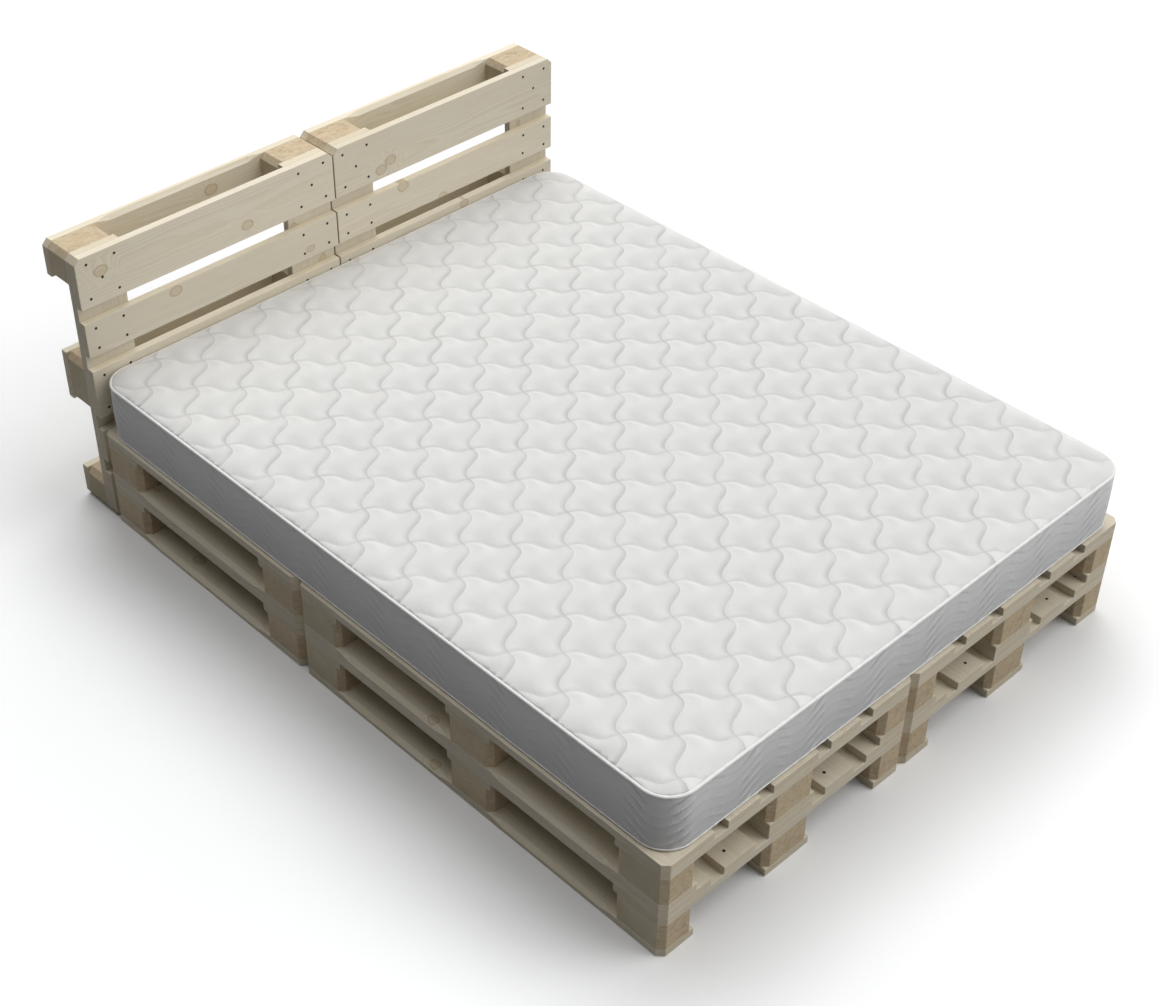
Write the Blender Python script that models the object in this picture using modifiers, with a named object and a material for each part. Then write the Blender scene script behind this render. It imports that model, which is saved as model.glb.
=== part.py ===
"""Pallet bed: wooden pallets in two layers carry a quilted mattress, and two more stand as the headboard.

Metres, +Z up. The origin is on the floor under the middle of the bed, +Y points to the headboard and +X
to the right of someone who stands at the foot. Every pallet is built once in its own frame (X across,
Y along its runners, Z from the floor side to the deck) and placed under an empty.
"""

import math

import bmesh
import bpy
from mathutils import Matrix, Vector, geometry

# Pallet timber
BOARD = 0.022
BLOCK_HEIGHT = 0.078
WIDE = 0.145
NARROW = 0.100
PALLET_WIDTH = 0.800
FULL_LENGTH = 1.200
SHORT_LENGTH = 0.800
CORNER_CUT = 0.015
EDGE_CUT = 0.011
EDGE_RUN_OUT = 0.040

# How the pallets stand together
SIDE_SEAM = 0.004
SECTION_SEAM = 0.008
HEADBOARD_GAP = 0.004
FIT = 0.0003

# Mattress
MATTRESS_WIDTH = 1.596
MATTRESS_LENGTH = 2.000
MATTRESS_RIGHT_OF_MIDDLE = 0.0035
MATTRESS_TO_HEADBOARD = 0.003
PIPING_RADIUS = 0.0033
PIPING_TOP_HEIGHT = 0.4482
PIPING_LIFT = 0.003
CORNER_RADIUS = 0.078
CORNER_STEPS = 8
BORDER_THICKNESS = 0.012
BORDER_BULGE = 0.002
BORDER_ROWS = 4
BOTTOM_PANEL = PIPING_LIFT + 2 * PIPING_RADIUS

# Quilting: square tiles turned 45 degrees, whose sewn sides wave once from crossing to crossing
TILE_HALF_X = 0.0840
TILE_HALF_Y = 0.08335
SEAM_WAVE_DOWN = 0.0099
SEAM_WAVE_UP = 0.0119
SEAM_BEND = 0.20
CROSSING = (-0.2178, -0.0326)
SEAM_HEIGHT = 0.4550
TILE_CROWN = 0.0085
QUILT_MARGIN = 0.028

# Limits of the modelling itself
EDGE_CUTTER_REACH = 1.5 * EDGE_CUT
FLAT_ANGLE = math.radians(0.5)
POINT_DIGITS = 6

# Worked out from those
PALLET_HEIGHT = 3 * BOARD + BLOCK_HEIGHT
SKID_TOP = BOARD + BLOCK_HEIGHT
STRINGER_TOP = SKID_TOP + BOARD
BED_LENGTH = FULL_LENGTH + SECTION_SEAM + SHORT_LENGTH + HEADBOARD_GAP + PALLET_HEIGHT
PALLET_SIDES = (("left", -(PALLET_WIDTH + SIDE_SEAM) / 2), ("right", (PALLET_WIDTH + SIDE_SEAM) / 2))
FOOT = -BED_LENGTH / 2
BACK = BED_LENGTH / 2
HEADBOARD_FACE = BACK - PALLET_HEIGHT
BASE_TOP = 2 * PALLET_HEIGHT + FIT
MATTRESS_REST = BASE_TOP + FIT
PIPING_BOTTOM_HEIGHT = MATTRESS_REST + PIPING_LIFT + PIPING_RADIUS
BORDER_LOW = PIPING_BOTTOM_HEIGHT + PIPING_RADIUS + FIT
BORDER_HIGH = PIPING_TOP_HEIGHT - PIPING_RADIUS - FIT
PANEL_INSET = 2 * PIPING_RADIUS + FIT
MATTRESS_MIDDLE = Vector(
    (MATTRESS_RIGHT_OF_MIDDLE, HEADBOARD_FACE - MATTRESS_TO_HEADBOARD - MATTRESS_LENGTH / 2, 0)
)


def clear_scene():
    for obj in list(bpy.data.objects):
        bpy.data.objects.remove(obj)


def new_collection(name):
    made = bpy.data.collections.new(name)
    bpy.context.scene.collection.children.link(made)
    return made


def material(name, colour, roughness):
    made = bpy.data.materials.new(name)
    made.use_nodes = True
    shader = made.node_tree.nodes["Principled BSDF"]
    shader.inputs["Base Color"].default_value = (*colour, 1)
    shader.inputs["Roughness"].default_value = roughness
    shader.inputs["Metallic"].default_value = 0
    return made


def place(mesh, name, finish, parent=None, location=(0, 0, 0), turn=0.0):
    """An object of its own for a mesh, which copies of the piece share."""
    obj = bpy.data.objects.new(name, mesh)
    if finish.name not in mesh.materials:
        mesh.materials.append(finish)
    obj.parent = parent
    obj.location = location
    obj.rotation_euler.z = turn
    bed.objects.link(obj)
    return obj


def mesh_of(bm, name):
    made = bpy.data.meshes.new(name)
    bm.to_mesh(made)
    bm.free()
    return made


# Boards and blocks


def bands(widths, span):
    """(low, high) of strips of these widths, spread over the span with equal gaps and centred on zero."""
    gap = (span - sum(widths)) / (len(widths) - 1)
    found = []
    low = -span / 2
    for width in widths:
        found.append((low, low + width))
        low += width + gap
    return found


DECK_BANDS = bands([WIDE, NARROW, WIDE, NARROW, WIDE], PALLET_WIDTH)
SKID_BANDS = bands([NARROW, WIDE, NARROW], PALLET_WIDTH)


def timber(x, y, z, cut_corners=()):
    """A board or block from its (low, high) ranges. Each (x side, y side) names an upright edge to cut."""
    bm = bmesh.new()
    bmesh.ops.create_cube(bm, size=2.0)
    edges = []
    for edge in bm.edges:
        low, high = (vert.co for vert in edge.verts)
        if low.z != high.z and (low.x, low.y) in cut_corners:
            edges.append(edge)
    for vert in bm.verts:
        vert.co = [ends[side > 0] for ends, side in zip((x, y, z), vert.co)]
    if edges:
        bmesh.ops.bevel(bm, geom=edges, offset=CORNER_CUT, segments=1, affect="EDGES")
    return mesh_of(bm, "timber")


def joined(name, meshes, cutter=None):
    """One closed mesh: the union of these, less the cutter."""
    helpers = [bpy.data.objects.new("helper", mesh) for mesh in meshes]
    whole = helpers[0]
    for other in helpers[1:]:
        union = whole.modifiers.new("union", "BOOLEAN")
        union.operation = "UNION"
        union.object = other
    if cutter:
        helpers.append(bpy.data.objects.new("cutter", cutter))
        cut = whole.modifiers.new("cut", "BOOLEAN")
        cut.operation = "DIFFERENCE"
        cut.object = helpers[-1]
    for helper in helpers:
        helper.hide_render = True
        helper.display_type = "WIRE"
        cutters.objects.link(helper)
    bpy.context.view_layer.update()
    graph = bpy.context.evaluated_depsgraph_get()
    made = bpy.data.meshes.new_from_object(whole.evaluated_get(graph))
    made.name = name
    for helper in helpers:
        bpy.data.objects.remove(helper)
    bm = bmesh.new()
    bm.from_mesh(made)
    bmesh.ops.dissolve_limit(bm, angle_limit=FLAT_ANGLE, verts=bm.verts, edges=bm.edges)
    bm.to_mesh(made)
    bm.free()
    return made


def stations(length):
    """Where stringer boards and blocks stand along a pallet of this length."""
    count = 3 if length > PALLET_WIDTH else 2
    return bands([WIDE] * count, length)


def end_sides(place_in_row, row):
    """-1 for the first of a row, 1 for the last, both or neither as it falls."""
    return [side for side, end in ((-1, row[0]), (1, row[-1])) if place_in_row == end]


def deck_board(across, length, bottom=STRINGER_TOP):
    outer = end_sides(across, DECK_BANDS)
    corners = [(x, y) for x in outer for y in (-1, 1)]
    return timber(across, (-length / 2, length / 2), (bottom, PALLET_HEIGHT), corners)


def stringer_board(along, length, top=STRINGER_TOP):
    outer = end_sides(along, stations(length))
    corners = [(x, y) for x in (-1, 1) for y in outer]
    half = PALLET_WIDTH / 2
    return timber((-half, half), along, (SKID_TOP + FIT, top), corners)


def deck(length):
    """The five deck boards nailed across their stringer boards."""
    pieces = [deck_board(across, length) for across in DECK_BANDS]
    pieces += [stringer_board(along, length) for along in stations(length)]
    return joined("deck", pieces)


def eased_edges(width, length):
    """Cutter for the bottom board's long upper edges, which are planed off between the blocks and run out."""
    bm = bmesh.new()
    row = stations(length)
    for (_, start), (end, _) in zip(row, row[1:]):
        for side in (-1, 1):
            edge_x = side * width / 2
            points = []
            for y, run in ((start, EDGE_RUN_OUT), (end, -EDGE_RUN_OUT)):
                across = Vector((side, 0, -1)) * EDGE_CUTTER_REACH
                chamfer = Vector((edge_x - side * EDGE_CUT / 2, y + run, BOARD - EDGE_CUT / 2))
                tip = Vector((edge_x, y, BOARD))
                points += [chamfer + across, chamfer - across, tip + (tip - chamfer)]
            verts = [bm.verts.new(point) for point in points]
            bmesh.ops.convex_hull(bm, input=verts)
    bmesh.ops.recalc_face_normals(bm, faces=bm.faces)
    return mesh_of(bm, "eased_edges")


def skid(width, length, outer_side=None):
    """A bottom board with its blocks. An outer skid's own corners are the pallet's, on its outer side."""
    half = width / 2
    corners = [(outer_side, y) for y in (-1, 1)] if outer_side else []
    board = timber((-half, half), (-length / 2, length / 2), (0, BOARD), corners)
    all_round = [(x, y) for x in (-1, 1) for y in (-1, 1)]
    blocks = [timber((-half, half), along, (BOARD / 2, SKID_TOP), all_round) for along in stations(length)]
    return joined("skid", [board, *blocks], eased_edges(width, length))


# Pallets


def pallet_frame(name, middle, standing=False):
    empty = bpy.data.objects.new(name, None)
    turned = Matrix(((0, 1, 0), (0, 0, -1), (-1, 0, 0))) if standing else Matrix.Identity(3)
    empty.matrix_world = Matrix.Translation(middle) @ turned.to_4x4()
    bed.objects.link(empty)
    return empty


def add_skids(frame, name, length, suffixes=("left", "middle", "right")):
    """Three runners. The third is the first turned round, so both outer ones share a mesh."""
    for suffix, (low, high), turn in zip(suffixes, SKID_BANDS, (0, 0, math.pi)):
        mesh = skid_meshes[length, high - low > NARROW + FIT]
        place(mesh, f"{name}_skid_{suffix}", pine, frame, ((low + high) / 2, 0, 0), turn)


def flat_pallet(name, middle, length):
    frame = pallet_frame(name, middle)
    place(deck_meshes[length], f"{name}_deck", pine, frame)
    add_skids(frame, name, length)


def standing_pallet(name, middle):
    """A short pallet on edge, deck to the mattress, taken down to its single boards."""
    frame = pallet_frame(name, middle, standing=True)
    for number, mesh in enumerate(reversed(board_meshes), 1):
        place(mesh, f"{name}_deck_board_{number}", pine, frame)
    for side, mesh in zip(("left", "right"), stringer_meshes):
        place(mesh, f"{name}_stringer_{side}", pine, frame)
    add_skids(frame, name, SHORT_LENGTH, ("upper", "middle", "lower"))


def base():
    foot_y = FOOT + FULL_LENGTH / 2
    head_y = FOOT + FULL_LENGTH + SECTION_SEAM + SHORT_LENGTH / 2
    for layer, height in (("lower", 0.0), ("upper", PALLET_HEIGHT + FIT)):
        for section, y, length in (("foot", foot_y, FULL_LENGTH), ("head", head_y, SHORT_LENGTH)):
            for side, x in PALLET_SIDES:
                flat_pallet(f"{layer}_{section}_{side}", Vector((x, y, height)), length)


def headboard():
    for side, x in PALLET_SIDES:
        standing_pallet(f"headboard_{side}", Vector((x, BACK, PALLET_WIDTH / 2)))


# Mattress


def outline(inset=0.0):
    """The mattress seen from above, as points of a rounded rectangle this far inside its widest line."""
    half_x = MATTRESS_WIDTH / 2 - CORNER_RADIUS
    half_y = MATTRESS_LENGTH / 2 - CORNER_RADIUS
    radius = CORNER_RADIUS - inset
    points = []
    for quarter, (x, y) in enumerate(((1, 1), (-1, 1), (-1, -1), (1, -1))):
        hub = Vector((x * half_x, y * half_y))
        for step in range(CORNER_STEPS + 1):
            angle = (quarter + step / CORNER_STEPS) * math.pi / 2
            points.append(hub + radius * Vector((math.cos(angle), math.sin(angle))))
    return points


def inside_outline(point, inset):
    """Whether a point of the plan lies inside the rounded rectangle this far in."""
    half_x = MATTRESS_WIDTH / 2 - CORNER_RADIUS
    half_y = MATTRESS_LENGTH / 2 - CORNER_RADIUS
    beyond = Vector((max(abs(point.x) - half_x, 0), max(abs(point.y) - half_y, 0)))
    return beyond.length < CORNER_RADIUS - inset


def slab(name, inset, bottom, top):
    """A flat prism of the mattress's outline."""
    bm = bmesh.new()
    face = bm.faces.new([bm.verts.new((*point, bottom)) for point in outline(inset)])
    raised = bmesh.ops.extrude_face_region(bm, geom=[face])
    verts = [item for item in raised["geom"] if isinstance(item, bmesh.types.BMVert)]
    bmesh.ops.translate(bm, vec=(0, 0, top - bottom), verts=verts)
    bmesh.ops.recalc_face_normals(bm, faces=bm.faces)
    return mesh_of(bm, name)


def border():
    """The side band: an upright strip round the mattress that bulges at mid height, made thick inwards."""
    bm = bmesh.new()
    rows = []
    for row in range(BORDER_ROWS + 1):
        share = row / BORDER_ROWS
        bulge = BORDER_BULGE * 4 * share * (1 - share)
        height = BORDER_LOW + share * (BORDER_HIGH - BORDER_LOW)
        rows.append([bm.verts.new((*point, height)) for point in outline(BORDER_BULGE - bulge)])
    for lower, upper in zip(rows, rows[1:]):
        count = len(lower)
        for i in range(count):
            j = (i + 1) % count
            bm.faces.new((lower[i], lower[j], upper[j], upper[i]))
    obj = place(mesh_of(bm, "border"), "mattress_border", border_cloth, mattress)
    thickness = obj.modifiers.new("thickness", "SOLIDIFY")
    thickness.thickness = BORDER_THICKNESS
    thickness.offset = -1
    thickness.use_even_offset = True


def piping(name, height):
    """A closed welt round the mattress, a tube on a rounded rectangle."""
    points = outline(PIPING_RADIUS)
    curve = bpy.data.curves.new(name, "CURVE")
    curve.dimensions = "3D"
    curve.bevel_depth = PIPING_RADIUS
    curve.bevel_resolution = 2
    spline = curve.splines.new("POLY")
    spline.points.add(len(points) - 1)
    for target, point in zip(spline.points, points):
        target.co = (*point, height, 1)
    spline.use_cyclic_u = True
    curve.materials.append(piping_cloth)
    obj = bpy.data.objects.new(name, curve)
    obj.parent = mattress
    bed.objects.link(obj)


def seam_point(crossing, along, wave, share):
    """A point on a sewn line, this share of the way between two crossings. The line is one sine wave."""
    left = Vector((-along.y, along.x)).normalized()
    return crossing + share * along + wave * math.sin(2 * math.pi * share) * left


def quilt_plan():
    """Plan of the quilting: the points of the sewn lines, the lines between them, and the tiles' middles."""
    down = Vector((TILE_HALF_X, -TILE_HALF_Y))
    up = Vector((TILE_HALF_X, TILE_HALF_Y))
    runs = ((down, SEAM_WAVE_DOWN), (up, SEAM_WAVE_UP))
    first = Vector(CROSSING) - MATTRESS_MIDDLE.xy
    reach = math.ceil(MATTRESS_LENGTH / (2 * TILE_HALF_Y)) + 2
    seams = []
    middles = []
    for i in range(-reach, reach + 1):
        for j in range(-reach, reach + 1):
            crossing = first + i * down + j * up
            middles.append(crossing + (down + up) / 2)
            near = [seam_point(crossing, along, wave, SEAM_BEND) for along, wave in runs]
            far = [seam_point(crossing, along, wave, 1 - SEAM_BEND) for along, wave in runs]
            before = [seam_point(crossing - along, along, wave, 1 - SEAM_BEND) for along, wave in runs]
            ring = [near[0], near[1], before[0], before[1]]
            seams += list(zip(ring, ring[1:] + ring[:1]))
            seams += list(zip(near, far))
    inside = [(a, b) for a, b in seams if all(inside_outline(p, QUILT_MARGIN) for p in (a, b))]
    return inside, [point for point in middles if inside_outline(point, QUILT_MARGIN)]


def quilted_panel():
    """The top panel: sewn lines low, tiles puffed up between them, and a flat underside."""
    edge = outline(PANEL_INSET)
    seams, middles = quilt_plan()
    points = edge + middles
    lines = []
    seen = {}
    for ends in seams:
        line = []
        for end in ends:
            key = (round(end.x, POINT_DIGITS), round(end.y, POINT_DIGITS))
            if key not in seen:
                seen[key] = len(points)
                points.append(end)
            line.append(seen[key])
        lines.append(tuple(line))
    rim = list(range(len(edge)))
    only_inside_rim = 1
    flat = geometry.delaunay_2d_cdt(points, lines, [rim], only_inside_rim, 10 ** -POINT_DIGITS)
    crowns = range(len(edge), len(edge) + len(middles))
    bm = bmesh.new()
    verts = []
    for point, sources in zip(flat[0], flat[3]):
        raised = any(source in crowns for source in sources)
        verts.append(bm.verts.new((*point, SEAM_HEIGHT + TILE_CROWN * raised)))
    for face in flat[2]:
        bm.faces.new([verts[i] for i in face])
    open_edges = [line for line in bm.edges if line.is_boundary]
    down = bmesh.ops.extrude_edge_only(bm, edges=open_edges)["geom"]
    for vert in (item for item in down if isinstance(item, bmesh.types.BMVert)):
        vert.co.z = BORDER_HIGH + FIT
    lower_rim = [item for item in down if isinstance(item, bmesh.types.BMEdge)]
    bmesh.ops.contextual_create(bm, geom=lower_rim)
    bmesh.ops.recalc_face_normals(bm, faces=bm.faces)
    return mesh_of(bm, "quilted_panel")


def mattress_pieces():
    inside_border = BORDER_THICKNESS + BORDER_BULGE + FIT
    panel_top = MATTRESS_REST + BOTTOM_PANEL
    bottom = slab("bottom_panel", PANEL_INSET, MATTRESS_REST, panel_top)
    core = slab("core", inside_border, panel_top + FIT, BORDER_HIGH)
    place(bottom, "mattress_bottom_panel", ticking, mattress)
    place(core, "mattress_core", foam, mattress)
    place(quilted_panel(), "mattress_top_panel", ticking, mattress)
    border()
    piping("mattress_piping_bottom", PIPING_BOTTOM_HEIGHT)
    piping("mattress_piping_top", PIPING_TOP_HEIGHT)


clear_scene()
bed = new_collection("pallet_bed")
cutters = new_collection("cutters")

pine = material("pine", (0.52, 0.45, 0.33), 0.75)
ticking = material("white_ticking", (0.78, 0.78, 0.76), 0.9)
border_cloth = material("grey_border_cloth", (0.42, 0.42, 0.41), 0.9)
piping_cloth = material("piping_cloth", (0.85, 0.84, 0.81), 0.8)
foam = material("foam", (0.80, 0.76, 0.60), 0.95)

deck_meshes = {length: deck(length) for length in (FULL_LENGTH, SHORT_LENGTH)}
skid_meshes = {}
for skid_length in (FULL_LENGTH, SHORT_LENGTH):
    skid_meshes[skid_length, False] = skid(NARROW, skid_length, outer_side=-1)
    skid_meshes[skid_length, True] = skid(WIDE, skid_length)
board_meshes = [deck_board(across, SHORT_LENGTH, STRINGER_TOP + FIT) for across in DECK_BANDS]
stringer_meshes = [stringer_board(along, SHORT_LENGTH) for along in stations(SHORT_LENGTH)]

base()
headboard()
mattress = pallet_frame("mattress", MATTRESS_MIDDLE)
mattress_pieces()
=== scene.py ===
import math
import random

import bmesh
import bpy
import numpy as np
from mathutils import Matrix, Vector

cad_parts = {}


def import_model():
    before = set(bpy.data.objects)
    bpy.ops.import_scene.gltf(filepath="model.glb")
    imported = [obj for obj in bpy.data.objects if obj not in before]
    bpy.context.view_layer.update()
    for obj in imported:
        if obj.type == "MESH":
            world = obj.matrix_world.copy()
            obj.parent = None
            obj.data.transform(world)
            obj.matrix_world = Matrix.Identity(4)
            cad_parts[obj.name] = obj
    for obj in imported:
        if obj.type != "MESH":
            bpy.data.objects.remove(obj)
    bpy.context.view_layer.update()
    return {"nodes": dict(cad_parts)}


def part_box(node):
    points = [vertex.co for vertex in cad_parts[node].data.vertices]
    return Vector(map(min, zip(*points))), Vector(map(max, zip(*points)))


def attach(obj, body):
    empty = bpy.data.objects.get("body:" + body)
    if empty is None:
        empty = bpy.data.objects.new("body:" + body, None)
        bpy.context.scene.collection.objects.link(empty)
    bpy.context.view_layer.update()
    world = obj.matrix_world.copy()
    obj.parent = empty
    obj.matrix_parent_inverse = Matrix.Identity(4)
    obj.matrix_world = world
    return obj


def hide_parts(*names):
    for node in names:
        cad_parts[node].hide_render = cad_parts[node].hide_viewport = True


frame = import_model()
chance = random.Random(11)
TURN = 2 * math.pi

# Pallet timber, as in the frame
BOARD = 0.022
BLOCK_HEIGHT = 0.078
WIDE = 0.145
NARROW = 0.100
PALLET_WIDTH = 0.800
CORNER_CUT = 0.015
EDGE_CUT = 0.011
EDGE_RUN_OUT = 0.040
LEAST_CUT = 0.0015
ARRIS = 0.0012
SKID_TOP = BOARD + BLOCK_HEIGHT
STRINGER_TOP = SKID_TOP + BOARD
PALLET_HEIGHT = STRINGER_TOP + BOARD
STANDING = Matrix(((0, 1, 0), (0, 0, -1), (-1, 0, 0)))

# Edges sharper than these angles are rounded, or shaded as edges
ROUNDED_FROM = math.radians(60)
CRISP_FROM = math.radians(50)

# Nail heads: (radius, rise) of each ring as shares of the head's, and how far one strays
NAIL_RADIUS = 0.0042
NAIL_RISE = 0.0004
NAIL_SIDES = 12
NAIL_RINGS = ((0.55, 1.3), (0.92, 1.0), (1.0, -1.5))
NAIL_CROWN = 1.6
NAIL_STRAY = 0.0015

# Nails at one crossing by the board's width: metres across the board, steps of NAIL_ALONG along it
NAIL_ALONG = 0.041
HEADBOARD_NAILS = {
    WIDE: ((-0.0495, -1), (-0.0495, 1), (0.0495, -1), (0.0495, 1), (0.0, 0)),
    NARROW: ((-0.029, -1), (-0.029, 1), (0.029, -1), (0.029, 1)),
}
BASE_NAILS = {
    WIDE: ((-0.025, -1), (0.025, 1), (0.025, -1), (-0.025, 1)),
    NARROW: ((-0.0165, -1), (0.0165, 1)),
}

# Knots seen on the headboard: x, z and radius, on the face towards the mattress
HEADBOARD_KNOTS = (
    (-0.7326, 0.7450, 0.015),
    (-0.5288, 0.5958, 0.014),
    (-0.2901, 0.6940, 0.013),
    (-0.1436, 0.6215, 0.012),
    (-0.0960, 0.5414, 0.010),
    (0.1945, 0.7005, 0.014),
    (0.1607, 0.6826, 0.014),
    (0.2345, 0.6020, 0.014),
    (0.3773, 0.5170, 0.011),
    (0.4569, 0.4602, 0.012),
    (0.6163, 0.6052, 0.008),
    (0.7044, 0.5900, 0.007),
    (0.0480, 0.7700, 0.006),
)

# What is drawn for each board: knots, pith, ring width, place in the grain and tone
KNOTS_PER_BOARD = 2
KNOTTY_SHARE = 0.42
KNOT_STRETCH = 1.35
KNOT_RINGS = 3800.0
KNOT_ALONG = (-0.36, 0.36)
KNOT_ACROSS = (-0.045, 0.045)
KNOT_RADIUS = (0.006, 0.015)
PITH_ACROSS = (-0.055, 0.055)
PITH_THROUGH = (-0.12, -0.03)
RING_WIDTH = (0.0028, 0.0048)
SEED_SPAN = (0, 60)
TONE_SPAN = (0.955, 1.03)
NO_KNOT = (9.0, 9.0, 0.001)

# Knots seen on other boards: along, across and radius, from the board's middle.
# Known knots come before those that are drawn, and late ones take the place of the first drawn.
KNOWN_KNOTS = {
    "upper_foot_left_skid_left": [(0.131, -0.036, 0.011)],
    "lower_foot_left_skid_left": [(0.131, -0.036, 0.011)],
    "lower_head_left_skid_left": [(0.086, -0.008, 0.014)],
}
LATE_KNOTS = {
    "headboard_left_skid_upper": [(0.092, -0.006, 0.015)],
    "headboard_left_stringer_right": [(-0.207, -0.055, 0.013)],
}

# How pale and smooth the left sides of the blocks are, by section of the base or side of the headboard
SANDED = {"foot": 1.0, "head": 0.35, "left": 0.70, "right": 0.70}
SANDED_MIDDLE_SHARE = 0.5

# How much lighter all of the headboard's upper timber is drawn
HEADBOARD_LIGHT = 1.09

# Painted shade: how much darker the timber is drawn on its left, foot and upper sides, as light would fall.
# A negative share is painted light. Blocks take these shares of it,
# and a side counts by a power of how squarely it faces that way.
PAINTED_SHADE_LEFT = {"upper_deck": 0.39, "upper_skid": 0.31, "lower_deck": 0.26, "lower_skid": -0.12}
PAINTED_SHADE_FOOT = 0.165
PAINTED_SHADE_HEADBOARD = (0.33, 0.0, -0.17)
PAINTED_SHADE_ON_BLOCKS = (0.55, 1.0, 0.0)
FACING_POWER = 4

# Quilting: square tiles turned 45 degrees, whose sewn sides wave once from crossing to crossing.
# A wave's terms are (turns per side, sine share, cosine share).
TILE_UP = Vector((0.0840, 0.08335))
CROSSING = Vector((-0.2178, -0.0326))
WAVE_DOWN = ((1, 0.0098, 0.0060), (2, -0.0021, -0.0012))
WAVE_UP = ((1, 0.0141, -0.0020), (2, 0.0012, 0.0), (3, 0.0003, 0.0))
LATTICE_ROUNDS = 80
TILE_STEPS = (0, 0.06, 0.17, 0.32)
SPARE_TILES = 4
SEAM_HEIGHT = 0.4550
TILE_BROAD = 0.0036
TILE_BROAD_POWER = 0.8
TILE_NEAR = 0.0032
TILE_NEAR_REACH = 0.0100
PANEL_EDGE_HEIGHT = 0.4512
PANEL_EDGE_REACH = 0.011
RIM_MARGIN = 0.012
CUT_TOLERANCE = 1e-6
TICKING_STITCH = 0.0040

# Sewn cloth: 20 frames of pressure from below, with every seam held. Caps are for x, y and z.
CLOTH_FRAMES = 20
CLOTH_SETTINGS = {
    "quality": 4,
    "tension_stiffness": 15,
    "compression_stiffness": 15,
    "shear_stiffness": 5,
    "bending_stiffness": 0.3,
    "use_pressure": True,
    "uniform_pressure_force": 0.8,
    "shrink_min": -0.009,
}
CLOTH_CAPS = np.array((0.0020, 0.0020, 0.0025))

# Mattress border and piping
CORNER_RADIUS = 0.078
PIPING_RADIUS = 0.0033
LOWER_PIPING_RADIUS = 0.0022
FIT = 0.0003
OUTLINE_STEP = 0.005
SLAB_STEP = 0.020
PANEL_INSET = 2 * PIPING_RADIUS + FIT
CORNER_CUTS = 18
SEAM_WIDTH = 1e-4
BORDER_ROWS = 46
BORDER_BULGE = 0.002
BORDER_THICKNESS = 0.012
BORDER_OVER_PIPING = 0.0020
BORDER_WAVE = 0.018
BORDER_WAVE_LENGTH = 0.2016
BORDER_TROUGH_AT = 0.0215
BORDER_FIRST_CLIMB = 0.0520
BORDER_CHANNEL = 0.0285
BORDER_RELIEF = 0.0006
BORDER_LEAST_RELIEF = 0.25
BORDER_FADE = 10
BORDER_STITCH = 0.0045
PIPING_SIDES = 16
PIPING_INNER_POWER = 0.35
PIPING_INNER_REACH = 1.45
PIPING_PULLS = ((0.00020, 0.0310), (0.00015, 0.0137))
PIPING_SEWN_IN = 0.0002
TAPE_WEAVE = 0.0012
UNDERSIDE_ROUNDING = 0.003
FOAM_ROUNDING = 0.006

# Camera, fitted to the pallets' corners
CAMERA_PLACE = (-2.7443, -2.7520, 3.2962)
CAMERA_TURN = (51.119, 0.0, -43.365)
CAMERA_LENS = 60.10
CAMERA_SENSOR = 36
CAMERA_SHIFT = (0.0388, -0.0028)

# Room: name, azimuth from the front, elevation, width and strength of each lamp
SUNS = (
    ("front_right", 45, 55, 40, 1.086),
    ("back_right", 135, 55, 40, 0.894),
    ("low_front_right", 45, 15, 40, 0.788),
    ("high_left", 270, 75, 40, 0.430),
    ("low_back_right", 135, 15, 40, 0.361),
    ("high_behind", 180, 75, 40, 0.336),
    ("behind", 180, 55, 40, 0.272),
    ("low_front", 0, 35, 40, 0.258),
)
WORLD_LIGHT = 0.0
FLOOR_BOUNCE = 0.35
FLOOR_SEEN = 1.09
# The floor's seen colour darkens near the object by ambient occlusion: a painted shadow
FLOOR_PAINTED_SHADE = 0.86
FLOOR_PAINTED_SHADE_REACH = 0.40
FLOOR_PAINTED_SHADE_SPAN = (0.80, 0.97)
FLOOR_PAINTED_SHADE_SAMPLES = 8
FLOOR_TINT = (0.994, 1.0, 1.006)
FLOOR_SIZE = 30


# Shaders


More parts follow.
